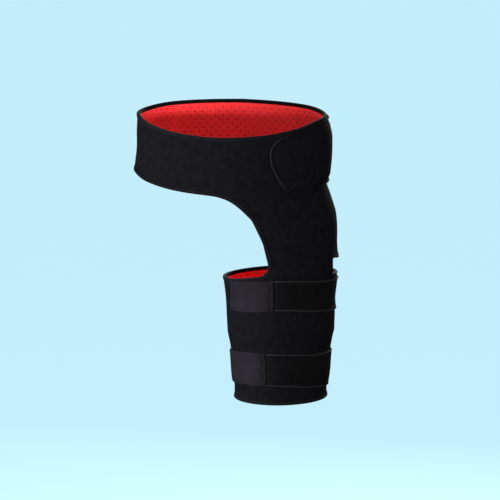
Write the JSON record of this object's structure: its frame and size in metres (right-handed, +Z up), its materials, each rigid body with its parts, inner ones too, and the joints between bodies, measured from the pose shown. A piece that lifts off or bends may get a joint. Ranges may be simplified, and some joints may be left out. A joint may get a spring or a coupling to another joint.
{
  "type": "hip compression brace",
  "caption": "Neoprene hip compression brace: a waist band, a hip panel and a strapped thigh wrap, held in its worn shape.",
  "frame": {"origin": "the middle of the waist band's hollow, at half the band's height", "axes": "+Z up, +X to the braced leg's outer side, -Y to the wearer's front"},
  "size_m": [0.3405, 0.2505, 0.4507],
  "materials": {
    "neoprene": "matt black loop-faced neoprene",
    "lining": "matt red perforated neoprene",
    "tape": "matt black knitted binding tape",
    "webbing": "black woven elastic",
    "hook_tab": "dark grey smooth hook tape"
  },
  "bodies": {
    "root": {"neoprene_panel": "neoprene", "lining_panel": "lining", "waist_binding": "tape", "opening_binding": "tape", "hem_binding": "tape", "waist_flap": "neoprene", "flap_piping": "tape", "flap_hook_patch": "hook_tab", "upper_strap": "webbing", "upper_strap_tab": "hook_tab", "lower_strap": "webbing", "lower_strap_tab": "hook_tab"}
  },
  "joints": []
}
